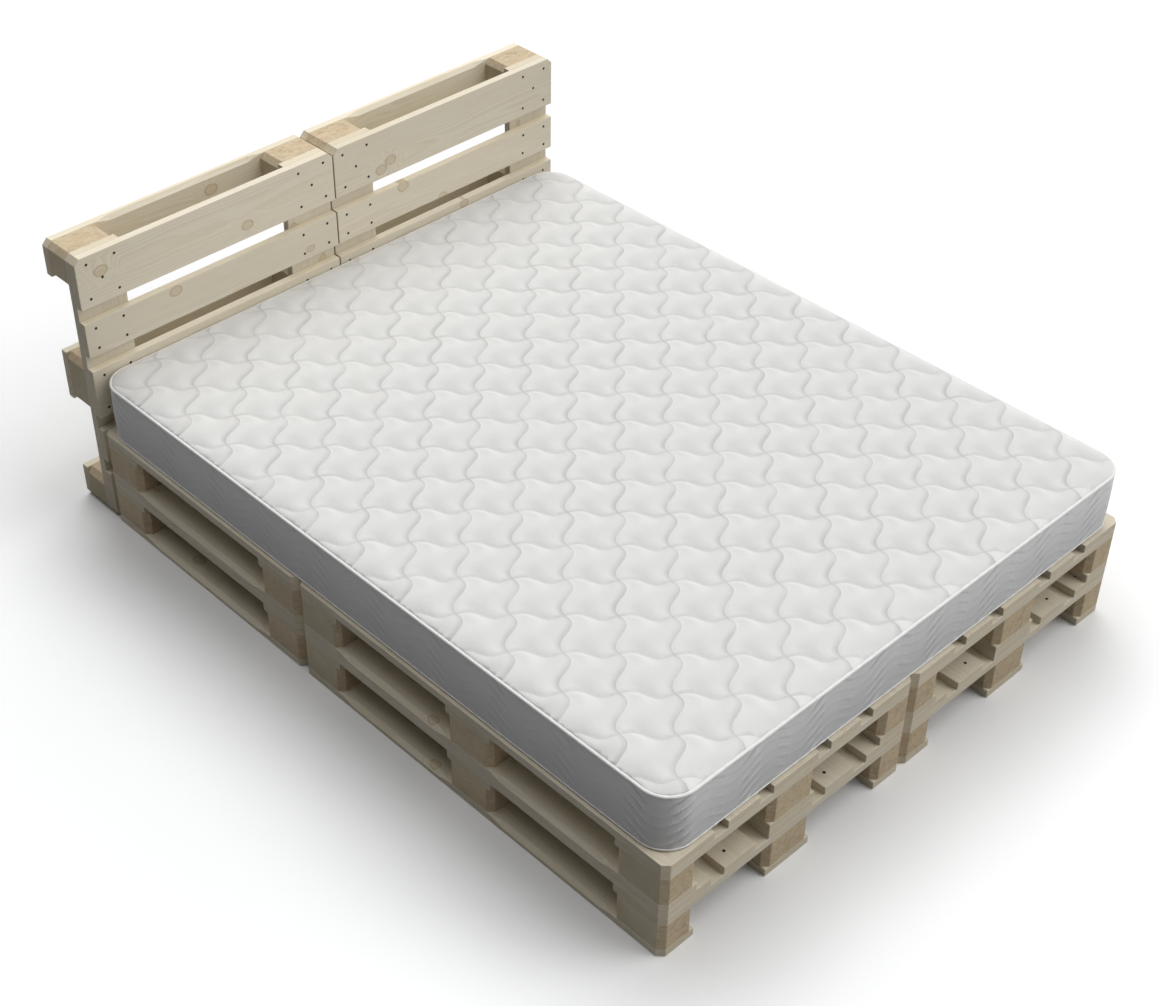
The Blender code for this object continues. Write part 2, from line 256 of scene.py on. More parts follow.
class Shader:
    """The nodes of a material or world. The methods that add nodes give back an output socket."""

    def __init__(self, name, looks=None, shelf="materials", surface="Principled BSDF"):
        self.owner = getattr(bpy.data, shelf).new(name)
        self.owner.use_nodes = True
        self.tree = self.owner.node_tree
        self.surface = self.tree.nodes[surface]
        self.fill(self.surface, looks or {})

    def fill(self, node, inputs):
        """Sets or links a node's inputs, which are given by name or number."""
        for key, value in inputs.items():
            if isinstance(value, bpy.types.NodeSocket):
                self.tree.links.new(value, node.inputs[key])
            else:
                node.inputs[key].default_value = value

    def node(self, kind, inputs, **settings):
        made = self.tree.nodes.new(kind)
        for key, value in settings.items():
            setattr(made, key, value)
        self.fill(made, inputs)
        return made

    def maths(self, operation, *values):
        return self.node("ShaderNodeMath", dict(enumerate(values)), operation=operation).outputs[0]

    def times(self, first, *others):
        for other in others:
            first = self.maths("MULTIPLY", first, other)
        return first

    def plus(self, first, *others):
        for other in others:
            first = self.maths("ADD", first, other)
        return first

    def minus(self, first, second):
        return self.maths("SUBTRACT", first, second)

    def sine(self, value, factor):
        return self.maths("SINE", self.times(value, factor))

    def vector(self, attribute):
        return self.node("ShaderNodeAttribute", {}, attribute_name=attribute).outputs["Vector"]

    def amount(self, attribute):
        return self.node("ShaderNodeAttribute", {}, attribute_name=attribute).outputs["Fac"]

    def place(self):
        return self.node("ShaderNodeTexCoord", {}).outputs["Object"]

    def split(self, vector):
        return list(self.node("ShaderNodeSeparateXYZ", {0: vector}).outputs)

    def joined(self, *parts):
        return self.node("ShaderNodeCombineXYZ", dict(enumerate(parts))).outputs[0]

    def stretched(self, vector, scale, shift=(0, 0, 0)):
        inputs = {0: vector, 1: scale, 2: shift}
        return self.node("ShaderNodeVectorMath", inputs, operation="MULTIPLY_ADD").outputs[0]

    def noise(self, vector, scale=1.0, shift=(0, 0, 0), detail=2.0, roughness=0.5):
        """Noise at a place, which is stretched first where the scale has three parts."""
        if isinstance(scale, tuple):
            vector = self.stretched(vector, scale, shift)
            scale = 1.0
        inputs = {"Vector": vector, "Scale": scale, "Detail": detail, "Roughness": roughness}
        return self.node("ShaderNodeTexNoise", inputs).outputs["Fac"]

    def ranged(self, value, low, high, new_low=0.0, new_high=1.0, smooth=True):
        inputs = dict(enumerate((value, low, high, new_low, new_high)))
        kind = "SMOOTHSTEP" if smooth else "LINEAR"
        return self.node("ShaderNodeMapRange", inputs, interpolation_type=kind).outputs[0]

    def mixed(self, share, first, second):
        colours = [(*colour, 1) if isinstance(colour, tuple) else colour for colour in (first, second)]
        inputs = {0: share, 6: colours[0], 7: colours[1]}
        return self.node("ShaderNodeMix", inputs, data_type="RGBA").outputs[2]

    def tinted(self, colour, *tints):
        """The colour under these (share, tint) layers, the lowest first."""
        for share, tint in tints:
            colour = self.mixed(share, colour, tint)
        return colour

    def scaled(self, colour, factor):
        inputs = {0: colour, "Scale": factor}
        return self.node("ShaderNodeVectorMath", inputs, operation="SCALE").outputs[0]

    def reach(self, across, through):
        """Distance from the middle in two directions."""
        squares = [self.maths("POWER", value, 2.0) for value in (across, through)]
        return self.maths("POWER", self.plus(*squares), 0.5)

    def seen_directly(self):
        """1 for what the camera, a reflection or glass shows, 0 for light that bounces on."""
        path = self.node("ShaderNodeLightPath", {}).outputs
        seen = path["Is Camera Ray"]
        for name in ("Is Glossy Ray", "Is Transmission Ray"):
            seen = self.maths("MAXIMUM", seen, path[name])
        return seen

    def stitches(self, run, away, length, near, far):
        """A row of stitches along a seam, by the distances along it and from it."""
        dashes = self.ranged(self.sine(run, TURN / length), -0.2, 0.3)
        return self.times(self.ranged(away, far, near), dashes)

    def finish(self, colour, roughness, *bumps):
        """Completes the surface. Bumps are (height, distance, strength), the lowest first."""
        self.fill(self.surface, {"Base Color": colour, "Roughness": roughness})
        above = self.surface
        for height, distance, strength in reversed(bumps):
            inputs = {"Height": height, "Distance": distance, "Strength": strength}
            made = self.node("ShaderNodeBump", inputs)
            self.fill(above, {"Normal": made.outputs[0]})
            above = made
        return self.owner


def with_tone_and_painted_shade(s, colour):
    """The colour with its piece's own tone, and painted shade that darkens or lightens some sides as light
    would.
    """
    return s.scaled(colour, s.times(s.amount("tone"), s.minus(1.0, s.amount("painted_shade"))))


def pine_material():
    """Sawn pine as a solid: rings round a pith outside the board, fibres along it, knots across it."""
    s = Shader("sawn_pine")
    place = s.vector("grain")
    seed = s.vector("seed")
    along, across, through = s.split(place)
    pith_across, pith_through, ring = s.split(s.vector("pith"))

    knot_core = 0.0
    knot_rim = 0.0
    swirl = 0.0
    for number in range(KNOTS_PER_BOARD):
        at_along, at_across, radius = s.split(s.vector(f"knot_{number}"))
        off_along = s.maths("DIVIDE", s.minus(along, at_along), KNOT_STRETCH)
        distance = s.reach(off_along, s.minus(across, at_across))
        wobble = s.noise(place, (60, 60, 60), seed, detail=1.0)
        share = s.plus(s.maths("DIVIDE", distance, radius), s.times(wobble, 0.25))
        rim = s.times(s.ranged(share, 0.86, 1.06), s.ranged(share, 1.32, 1.12))
        push = s.times(radius, 0.9, s.ranged(share, 3.4, 0.6))
        knot_core = s.maths("MAXIMUM", s.ranged(share, 1.15, 1.0), knot_core)
        knot_rim = s.maths("MAXIMUM", rim, knot_rim)
        swirl = s.plus(push, swirl)

    drift = s.noise(place, (1.7, 7, 7), seed)
    wave = s.noise(place, (9, 30, 30), seed, detail=1.0)
    from_pith = s.reach(s.minus(across, pith_across), s.minus(through, pith_through))
    bent = s.plus(from_pith, s.times(drift, 0.030), s.times(wave, 0.0025), swirl)
    turn = s.maths("FRACT", s.maths("DIVIDE", bent, ring))
    strength = s.ranged(s.noise(place, (2.5, 14, 14), seed), 0.30, 0.68, 0.25, 1.0)
    late = s.times(s.ranged(turn, 0.25, 0.86), s.ranged(turn, 1.0, 0.90), strength)
    fibre = s.noise(place, (22, 950, 950), seed, detail=3.0)
    streak = s.noise(place, (4.5, 95, 95), seed, detail=3.0, roughness=0.62)
    cloud = s.noise(place, (3.2, 9, 9), seed)
    core_rings = s.ranged(s.sine(from_pith, KNOT_RINGS), -1.0, 1.0, 0.0, 0.35)
    knot_colour = s.mixed(core_rings, (0.600, 0.470, 0.300), (0.500, 0.365, 0.215))
    colour = s.tinted(
        (0.755, 0.690, 0.550),
        (s.times(late, 0.40), (0.585, 0.475, 0.325)),
        (s.ranged(streak, 0.38, 0.78, 0.0, 0.22), (0.615, 0.515, 0.365)),
        (s.ranged(cloud, 0.42, 0.75, 0.0, 0.30), (0.765, 0.722, 0.615)),
        (s.ranged(fibre, 0.40, 0.72, 0.0, 0.12), (0.540, 0.445, 0.310)),
        (s.times(knot_core, 0.50), knot_colour),
        (s.times(knot_rim, 0.50), (0.400, 0.300, 0.185)),
        (s.times(s.amount("end_grain"), 0.30), (0.620, 0.500, 0.330)),
    )
    height = s.plus(s.times(fibre, 0.6), s.times(late, 0.25), s.times(streak, 0.4))
    rough = s.ranged(streak, 0.3, 0.8, 0.62, 0.80)
    return s.finish(with_tone_and_painted_shade(s, colour), rough, (height, 0.0006, 0.55))


def chipboard_material():
    """Pressed chips: flat flakes of pale and brown wood, matted together, sanded smooth on some sides."""
    s = Shader("pressed_chips")
    place = s.vector("grain")
    seed = s.vector("seed")
    bend = s.noise(place, (60, 60, 60), seed)
    bent = s.stretched(s.joined(bend, bend, bend), (0.014, 0.014, 0.014), place)
    shades = []
    for scale in ((70, 95, 130), (150, 110, 170), (330, 300, 420)):
        inputs = {"Vector": s.stretched(bent, scale, seed), "Scale": 1.0, "Smoothness": 0.35}
        cells = s.node("ShaderNodeTexVoronoi", inputs, feature="SMOOTH_F1")
        shades.append(s.split(cells.outputs["Color"])[0])
    flake = s.plus(*(s.times(shade, part) for shade, part in zip(shades, (0.42, 0.38, 0.20))))
    cloud = s.noise(place, (22, 22, 22), seed, detail=3.0)
    dust = s.noise(place, (900, 900, 900), seed)
    sanded = s.amount("sanded")
    pale = s.mixed(s.ranged(cloud, 0.30, 0.70), (0.565, 0.512, 0.395), (0.530, 0.472, 0.352))
    colour = s.tinted(
        (0.540, 0.420, 0.270),
        (s.ranged(flake, 0.25, 0.75), (0.650, 0.535, 0.365)),
        (s.ranged(shades[1], 0.68, 0.92, 0.0, 0.55), (0.600, 0.405, 0.225)),
        (s.ranged(shades[0], 0.16, 0.05, 0.0, 0.35), (0.400, 0.290, 0.170)),
        (s.ranged(cloud, 0.40, 0.72, 0.0, 0.40), (0.660, 0.565, 0.400)),
        (s.ranged(dust, 0.45, 0.75, 0.0, 0.10), (0.400, 0.305, 0.190)),
        (s.times(sanded, 0.80), pale),
    )
    height = s.plus(s.times(flake, 0.6), s.times(dust, 0.5))
    height = s.times(height, s.minus(1.0, s.times(sanded, 0.7)))
    rough = s.ranged(cloud, 0.3, 0.7, 0.80, 0.92)
    return s.finish(with_tone_and_painted_shade(s, colour), rough, (height, 0.0005, 0.4))


def nail_material():
    s = Shader("nail_steel", {"Metallic": 0.6})
    rust = s.noise(s.place(), 420.0, detail=3.0)
    colour = s.mixed(s.ranged(rust, 0.45, 0.70), (0.030, 0.027, 0.024), (0.085, 0.058, 0.038))
    return s.finish(colour, s.ranged(rust, 0.35, 0.7, 0.45, 0.75), (rust, 0.0003, 0.5))


def knitted(s, place, scale):
    """Height of a fine knit: small loops in rows, with some unevenness."""
    x, y = s.split(place)[:2]
    loops = s.times(s.sine(x, scale), s.sine(y, scale * 0.8), 0.25)
    return s.plus(loops, s.noise(place, scale * 0.12))


def ticking_material():
    """White quilted ticking: a fine knit with thread and creases at the seams, and painted shade and
    highlight beside them.
    """
    s = Shader("quilted_ticking", {"Sheen Weight": 0.10, "Sheen Roughness": 0.5})
    place = s.place()
    p, q = s.split(s.vector("quilt"))[:2]
    side = TILE_UP.length
    from_left = s.times(s.maths("FRACT", p), side)
    from_low = s.times(s.maths("FRACT", q), side)
    from_right = s.minus(side, from_left)
    off_p = s.maths("MINIMUM", from_left, from_right)
    off_q = s.maths("MINIMUM", from_low, s.minus(side, from_low))
    away = s.maths("MINIMUM", off_p, off_q)
    on_p = s.maths("LESS_THAN", off_p, off_q)
    run = s.times(s.plus(s.times(q, on_p), s.times(p, s.minus(1.0, on_p))), side)

    mottle = s.noise(place, 38.0, detail=3.0, roughness=0.6)
    uneven = s.ranged(s.noise(place, 16.0), 0.30, 0.70, 0.55, 1.25)
    # Painted shade: soft dark bands along each tile's right and lower edges, the lower one stronger along
    # part of each wave
    right = s.times(s.ranged(from_right, 0.0175, 0.0005), uneven)
    low = s.times(s.ranged(from_low, 0.0110, 0.0005), uneven)
    rising = s.maths("COSINE", s.times(s.minus(p, 0.03), TURN))
    low_painted_shade_share = s.ranged(rising, -0.70, 0.30, 0.12, 0.50)
    shade = s.maths("MAXIMUM", s.times(right, 0.80), s.times(low, low_painted_shade_share))
    thread = s.stitches(run, away, TICKING_STITCH, 0.0004, 0.0008)
    colour = s.tinted(
        (0.756, 0.756, 0.745),
        (s.ranged(mottle, 0.35, 0.70), (0.735, 0.735, 0.722)),
        (s.ranged(s.noise(place, 9.0), 0.42, 0.66, 0.0, 0.5), (0.750, 0.742, 0.722)),
        # Painted highlight along each tile's left side, then painted shade towards its right, in the bands
        # and at the seam
        (s.times(s.ranged(from_left, 0.075, 0.004), 0.90), (0.825, 0.825, 0.812)),
        (s.ranged(from_right, 0.060, 0.010, 0.0, 0.30), (0.690, 0.690, 0.680)),
        (shade, (0.560, 0.558, 0.545)),
        (s.times(s.ranged(away, 0.0022, 0.0), 0.30), (0.520, 0.510, 0.480)),
        (s.times(thread, 0.5), (0.760, 0.745, 0.700)),
    )
    crease_place = s.joined(s.times(run, 120.0), s.times(away, 22.0), on_p)
    crease = s.times(s.noise(crease_place, detail=1.5), s.ranged(away, 0.022, 0.001))
    knit = knitted(s, place, 4200.0)
    bumps = ((crease, 0.0026, 0.24), (thread, 0.0008, 0.8), (mottle, 0.0024, 0.22), (knit, 0.0003, 0.35))
    return s.finish(colour, 0.88, *bumps)


def border_material():
    """Grey-white side cloth, with painted shade below, sewn in rows of waves that pucker most where they
    climb.
    """
    s = Shader("border_cloth", {"Sheen Weight": 0.10})
    place = s.place()
    x, y = s.split(place)[:2]
    run, level = s.split(s.vector("wave"))[:2]
    on_cloth = s.joined(run, level, 0.0)
    phase = s.times(run, TURN / BORDER_WAVE_LENGTH)
    rise = s.maths("SINE", phase)
    climb = s.maths("COSINE", phase)
    lifted = s.minus(level, s.times(rise, BORDER_WAVE))
    drift = s.noise(on_cloth, (14, 40, 1), detail=1.0)
    channel = s.plus(s.maths("DIVIDE", lifted, BORDER_CHANNEL), s.times(drift, 0.40))
    above = s.times(s.maths("FRACT", channel), BORDER_CHANNEL)
    away = s.maths("MINIMUM", above, s.minus(BORDER_CHANNEL, above))
    climbing = s.ranged(climb, 0.35, 0.92)
    falling = s.ranged(climb, -0.55, -0.95, 0.0, 0.50)
    level_run = s.ranged(s.maths("ABSOLUTE", rise), 0.2, 0.9, 0.0, 0.30)
    broken = s.ranged(s.noise(on_cloth, (28, 34, 1), detail=1.0), 0.35, 0.60, 0.35, 1.0)
    calm = s.ranged(y, -1.04, -0.90, 1.0, 0.50)
    pucker = s.maths("MAXIMUM", climbing, s.maths("MAXIMUM", level_run, falling))
    pucker = s.times(pucker, broken, calm)

    mottle = s.noise(place, 30.0, detail=3.0)
    # Painted shade towards the lower edge, along a wavering line, and painted light growing towards the
    # right side
    sag = s.noise(s.joined(run, 0.0, 0.0), (7, 1, 1), detail=1.0)
    low_edge = s.ranged(sag, 0.3, 0.7, -0.020, 0.012)
    painted_light_right = s.maths("POWER", s.ranged(x, -0.35, 0.75, smooth=False), 1.6)
    # Painted highlight on the crest above each sewn line and painted shade in its crease, where the cloth
    # puckers
    painted_crest_highlight = s.times(s.ranged(above, 0.0045, 0.0085), s.ranged(above, 0.0165, 0.0110), pucker, 0.50)
    crease = s.times(s.ranged(away, 0.0050, 0.0008), pucker, 0.70)
    colour = s.tinted(
        (0.685, 0.686, 0.682),
        (s.ranged(mottle, 0.35, 0.70), (0.660, 0.662, 0.661)),
        (s.ranged(level, 0.150, low_edge, 0.0, 0.92), (0.505, 0.508, 0.514)),
    )
    colour = s.scaled(colour, s.plus(s.times(painted_light_right, 0.24), 1.0))
    colour = s.tinted(colour, (painted_crest_highlight, (0.860, 0.863, 0.863)), (crease, (0.400, 0.400, 0.402)))
    thread = s.stitches(run, away, BORDER_STITCH, 0.0005, 0.0009)
    ribs = s.noise(s.joined(run, lifted, 0.0), (260, 60, 1), detail=1.0)
    fold = s.times(s.ranged(away, 0.0, 0.009), pucker)
    knit = knitted(s, place, 3800.0)
    bumps = ((fold, 0.0008, 0.9), (s.times(ribs, pucker), 0.0016, 0.7), (thread, 0.0005, 0.7))
    return s.finish(colour, 0.9, *bumps, (mottle, 0.0016, 0.25), (knit, 0.0003, 0.4))


def piping_material():
    """Bias tape with a diagonal weave."""
    s = Shader("piping_tape")
    along, around = s.split(s.vector("tape"))[:2]
    threads = [s.sine(way, TURN / TAPE_WEAVE) for way in (s.plus(along, around), s.minus(along, around))]
    mottle = s.noise(s.place(), 60.0, detail=3.0)
    colour = s.mixed(s.ranged(mottle, 0.35, 0.7), (0.92, 0.917, 0.905), (0.89, 0.886, 0.870))
    return s.finish(colour, 0.8, (s.times(*threads), 0.0002, 0.5))


def foam_material():
    s = Shader("core_foam")
    cells = s.noise(s.place(), 700.0)
    colour = s.mixed(s.ranged(cells, 0.35, 0.65), (0.82, 0.77, 0.60), (0.70, 0.64, 0.46))
    return s.finish(colour, 0.95, (cells, 0.0008, 0.6))


# Timber


def bands(widths, span):
    """(low, high) of strips of these widths, spread over the span with equal gaps and centred on zero."""
    gap = (span - sum(widths)) / (len(widths) - 1)
    found = []
    low = -span / 2
    for width in widths:
        found.append((low, low + width))
        low += width + gap
    return found


DECK_BANDS = bands([WIDE, NARROW, WIDE, NARROW, WIDE], PALLET_WIDTH)
SKID_BANDS = bands([NARROW, WIDE, NARROW], PALLET_WIDTH)


def stations(length):
    count = 3 if length > PALLET_WIDTH + NARROW else 2
    return bands([WIDE] * count, length)


def middle(ends):
    return (ends[0] + ends[1]) / 2


def end_sides(place_in_row, row):
    return [side for side, end in ((-1, row[0]), (1, row[-1])) if place_in_row == end]


def round_edges(bm, offset, segments):
    """Rounds the edges where faces meet sharply."""
    sharp = [edge for edge in bm.edges if edge.calc_face_angle(0) > ROUNDED_FROM]
    bmesh.ops.bevel(
        bm, geom=sharp, offset=offset, segments=segments, profile=0.5, affect="EDGES", clamp_overlap=True
    )


def join_pair(bm, ring, beyond):
    """Faces between two rings of vertices."""
    next_ring, next_beyond = [row[1:] + row[:1] for row in (ring, beyond)]
    return [bm.faces.new(corners) for corners in zip(ring, beyond, next_beyond, next_ring)]


def sawn_box(ranges, cut_corners=()):
    """A board or block with some upright edges cut at 45 degrees and every arris broken."""
    bm = bmesh.new()
    bmesh.ops.create_cube(bm, size=2.0)
    edges = []
    for edge in bm.edges:
        low, high = (vert.co for vert in edge.verts)
        if low.z != high.z and (low.x, low.y) in cut_corners:
            edges.append(edge)
    for vert in bm.verts:
        vert.co = [ends[side > 0] for ends, side in zip(ranges, vert.co)]
    if edges:
        bmesh.ops.bevel(bm, geom=edges, offset=CORNER_CUT, segments=1, affect="EDGES")
    bmesh.ops.bevel(bm, geom=bm.edges, offset=ARRIS, segments=2, profile=0.5, affect="EDGES")
    return bm


def eased_board(width, length, outer_side):
    """A bottom board, lofted: the edges are planed between the blocks and run out where a block stands."""
    half_length = length / 2
    sections = [(-half_length, LEAST_CUT, 1), (-half_length + CORNER_CUT, LEAST_CUT, 0)]
    row = stations(length)
    for (_, start), (end, _) in zip(row, row[1:]):
        sections += [(start, LEAST_CUT, 0), (start + EDGE_RUN_OUT, EDGE_CUT, 0)]
        sections += [(end - EDGE_RUN_OUT, EDGE_CUT, 0), (end, LEAST_CUT, 0)]
    sections += [(half_length - CORNER_CUT, LEAST_CUT, 0), (half_length, LEAST_CUT, 1)]
    bm = bmesh.new()
    rings = []
    for y, cut, at_end in sections:
        insets = [CORNER_CUT if at_end and side == outer_side else 0.0 for side in (-1, 1)]
        left, right = insets[0] - width / 2, width / 2 - insets[1]
        upper = ((right, BOARD - cut), (right - cut, BOARD), (left + cut, BOARD), (left, BOARD - cut))
        profile = ((left, 0), (right, 0), *upper)
        rings.append([bm.verts.new((x, y, z)) for x, z in profile])
    for ring, beyond in zip(rings, rings[1:]):
        join_pair(bm, ring, beyond)
    bm.faces.new(rings[0])
    bm.faces.new(reversed(rings[-1]))
    bmesh.ops.recalc_face_normals(bm, faces=bm.faces)
    round_edges(bm, ARRIS, 2)
    return bm


def mesh_object(name, bm, *finishes):
    mesh = bpy.data.meshes.new(name)
    bm.to_mesh(mesh)
    bm.free()
    for finish in finishes:
        mesh.materials.append(finish)
    obj = bpy.data.objects.new(name, mesh)
    bpy.context.scene.collection.objects.link(obj)
    return obj


class Timber:
    """Collects a node's boards and blocks into one mesh, with the attributes that their grain needs."""

    def __init__(self, node, placed, painted_shade, light=1.0):
        self.node = node
        self.placed = placed
        self.painted_shade_shares = painted_shade
        self.light = light
        self.bm = bmesh.new()
        new_vector = self.bm.verts.layers.float_vector.new
        self.vectors = [new_vector(name) for name in ("grain", "seed", "pith", "knot_0", "knot_1")]
        self.tone = self.bm.verts.layers.float.new("tone")
        new_float = self.bm.faces.layers.float.new
        self.end, self.sanded, self.painted_shade = [new_float(name) for name in ("end_grain", "sanded", "painted_shade")]

    def add(self, piece, centre, grain_axis, is_block=False, knots=(), sanded=0.0):
        """Takes the piece's faces over. The centre is its own, and the grain runs along X (0) or Y (1).
        Sanded says how smooth and pale a block's left side is."""
        seed = [chance.uniform(*SEED_SPAN) for _ in range(3)]
        pith = [chance.uniform(*span) for span in (PITH_ACROSS, PITH_THROUGH, RING_WIDTH)]
        tone = chance.uniform(*TONE_SPAN) * self.light
        knots = [*knots, *self.random_knots(len(knots), is_block)]
        if not is_block:
            knots[:1] = LATE_KNOTS.get(self.node, knots[:1])
        copies = {}
        for vert in piece.verts:
            copy = self.bm.verts.new(self.placed @ vert.co)
            off = vert.co - centre
            grain = (off[grain_axis], off[1 - grain_axis], off.z)
            for layer, value in zip(self.vectors, (grain, seed, pith, *knots)):
                copy[layer] = value
            copy[self.tone] = tone
            copies[vert] = copy
        for face in piece.faces:
            copy = self.bm.faces.new([copies[vert] for vert in face.verts])
            copy.material_index = int(is_block)
            copy[self.end] = abs(face.normal[grain_axis])
            x, y, z = self.placed.to_3x3() @ face.normal
            facing = [max(part, 0.0) ** FACING_POWER for part in (-x, -y, z)]
            copy[self.sanded] = sanded * facing[0]
            # Painted shade: each side is darkened, or lightened, by how squarely it faces left, to the foot
            # or up
            for share, on_blocks, faced in zip(self.painted_shade_shares, PAINTED_SHADE_ON_BLOCKS, facing):
                copy[self.painted_shade] += share * faced * (on_blocks if is_block else 1.0)
        piece.free()

    @staticmethod
    def random_knots(given, is_block):
        """A few small knots on the boards that have none placed."""
        found = []
        for _ in range(KNOTS_PER_BOARD - given):
            spot = [chance.uniform(*span) for span in (KNOT_ALONG, KNOT_ACROSS, KNOT_RADIUS)]
            wanted = not is_block and not given and chance.random() < KNOTTY_SHARE
            found.append(spot if wanted else NO_KNOT)
        return found

    def place(self):
        obj = mesh_object(f"{self.node}_timber", self.bm, pine, chipboard)
        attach(obj, "pallets")
        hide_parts(self.node)


def add_board(timber, ranges, corners, grain_axis, **details):
    centre = Vector([middle(ends) for ends in ranges])
    timber.add(sawn_box(ranges, corners), centre, grain_axis, **details)


def add_deck_board(timber, across, length, **details):
    corners = [(x, y) for x in end_sides(across, DECK_BANDS) for y in (-1, 1)]
    ranges = (across, (-length / 2, length / 2), (STRINGER_TOP, PALLET_HEIGHT))
    add_board(timber, ranges, corners, 1, **details)


def add_stringer(timber, along, length):
    corners = [(x, y) for x in (-1, 1) for y in end_sides(along, stations(length))]
    ranges = ((-PALLET_WIDTH / 2, PALLET_WIDTH / 2), along, (SKID_TOP, STRINGER_TOP))
    add_board(timber, ranges, corners, 0)


def add_skid(timber, band, length, sanded):
    """A bottom board and its blocks, in the pallet's own frame. The middle block stays rougher."""
    width = band[1] - band[0]
    outer = end_sides(band, SKID_BANDS)
    shift = Vector((middle(band), 0, 0))
    board = eased_board(width, length, outer[0] if outer else 0)
    bmesh.ops.translate(board, verts=board.verts, vec=shift)
    timber.add(board, shift + Vector((0, 0, BOARD / 2)), 1, knots=KNOWN_KNOTS.get(timber.node, ()))
    all_round = [(x, y) for x in (-1, 1) for y in (-1, 1)]
    for along in stations(length):
        smooth = sanded if end_sides(along, stations(length)) else SANDED_MIDDLE_SHARE * sanded
        ranges = (band, along, (BOARD, SKID_TOP))
        add_board(timber, ranges, all_round, 1, is_block=True, sanded=smooth)


def knots_on(band, pallet_x):
    """The headboard's known knots on this deck board, as (along, across, radius) from its middle."""
    found = []
    for x, z, radius in HEADBOARD_KNOTS:
        across = PALLET_WIDTH / 2 - z
        along = x - pallet_x
        if band[0] < across < band[1] and abs(along) < PALLET_WIDTH / 2:
            found.append((along, across - middle(band), radius))
    return found[:KNOTS_PER_BOARD]


def nail_spots(rows, length, patterns, level, up, turn=1):
    """Where the nails stand, as (x, y, z, up). Turn mirrors the pattern, as the pallets face each other."""
    spots = []
    for across in rows:
        for along in stations(length):
            for x, y in patterns[round(across[1] - across[0], 3)]:
                spots.append((middle(across) + x * turn, middle(along) + y * NAIL_ALONG, level, up))
    return spots


def nails(name, placed, length, patterns, turn=1):
    """Domed heads on the deck and under the bottom boards, a hair proud of the board."""
    spots = nail_spots(DECK_BANDS, length, patterns, PALLET_HEIGHT, 1, turn)
    spots += nail_spots(SKID_BANDS, length, HEADBOARD_NAILS, 0.0, -1)
    bm = bmesh.new()
    for x, y, z, up in spots:
        x += chance.uniform(-NAIL_STRAY, NAIL_STRAY)
        y += chance.uniform(-NAIL_STRAY, NAIL_STRAY)
        centre = bm.verts.new(placed @ Vector((x, y, z + up * NAIL_RISE * NAIL_CROWN)))
        rings = []
        for share, rise in NAIL_RINGS:
            ring = []
            for step in range(NAIL_SIDES):
                angle = TURN * step / NAIL_SIDES
                point = Vector((x, y, z + up * NAIL_RISE * rise))
                point += NAIL_RADIUS * share * Vector((math.cos(angle), math.sin(angle), 0))
                ring.append(bm.verts.new(placed @ point))
            rings.append(ring)
        for i in range(NAIL_SIDES):
            bm.faces.new((centre, rings[0][i - 1], rings[0][i]))
        for ring, beyond in zip(rings, rings[1:]):
            join_pair(bm, ring, beyond)
        bm.faces.new(rings[-1])
    bmesh.ops.recalc_face_normals(bm, faces=bm.faces)
    obj = mesh_object(name, bm, steel)
    obj.data.shade_smooth()
    obj.data.set_sharp_from_angle(angle=CRISP_FROM)
    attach(obj, "pallets")


def flat_pallet(name):
    low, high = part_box(f"{name}_deck")
    length = high.y - low.y
    centre = (low + high) / 2
    placed = Matrix.Translation((centre.x, centre.y, high.z - PALLET_HEIGHT))
    level, section, _ = name.split("_")
    deck = Timber(f"{name}_deck", placed, (PAINTED_SHADE_LEFT[f"{level}_deck"], PAINTED_SHADE_FOOT, 0.0))
    for across in DECK_BANDS:
        add_deck_board(deck, across, length)
    for along in stations(length):
        add_stringer(deck, along, length)
    deck.place()
    for suffix, band in zip(("left", "middle", "right"), SKID_BANDS):
        skid = Timber(f"{name}_skid_{suffix}", placed, (PAINTED_SHADE_LEFT[f"{level}_skid"], PAINTED_SHADE_FOOT, 0.0))
        add_skid(skid, band, length, SANDED[section] if suffix == "left" else 0.0)
        skid.place()
    nails(f"{name}_nails", placed, length, BASE_NAILS, 1 if centre.x < 0 else -1)


def standing_pallet(name):
    low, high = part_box(f"{name}_skid_upper")
    length = high.x - low.x
    placed = Matrix.Translation((middle((low.x, high.x)), high.y, PALLET_WIDTH / 2)) @ STANDING.to_4x4()
    for number, across in enumerate(reversed(DECK_BANDS), 1):
        board = Timber(f"{name}_deck_board_{number}", placed, PAINTED_SHADE_HEADBOARD)
        add_deck_board(board, across, length, knots=knots_on(across, middle((low.x, high.x))))
        board.place()
    for side, along in zip(("left", "right"), stations(length)):
        stringer = Timber(f"{name}_stringer_{side}", placed, PAINTED_SHADE_HEADBOARD)
        add_stringer(stringer, along, length)
        stringer.place()
    for suffix, band in zip(("upper", "middle", "lower"), SKID_BANDS):
        light = HEADBOARD_LIGHT if suffix == "upper" else 1.0
        skid = Timber(f"{name}_skid_{suffix}", placed, PAINTED_SHADE_HEADBOARD, light)
        add_skid(skid, band, length, SANDED[name.split("_")[1]])
        skid.place()
    nails(f"{name}_nails", placed, length, HEADBOARD_NAILS)


# Mattress


def mattress_plan():
    """Middle and half sizes of the mattress seen from above, at the border's widest line."""
    low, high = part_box("mattress_border")
    return (low + high) / 2, (high - low) / 2


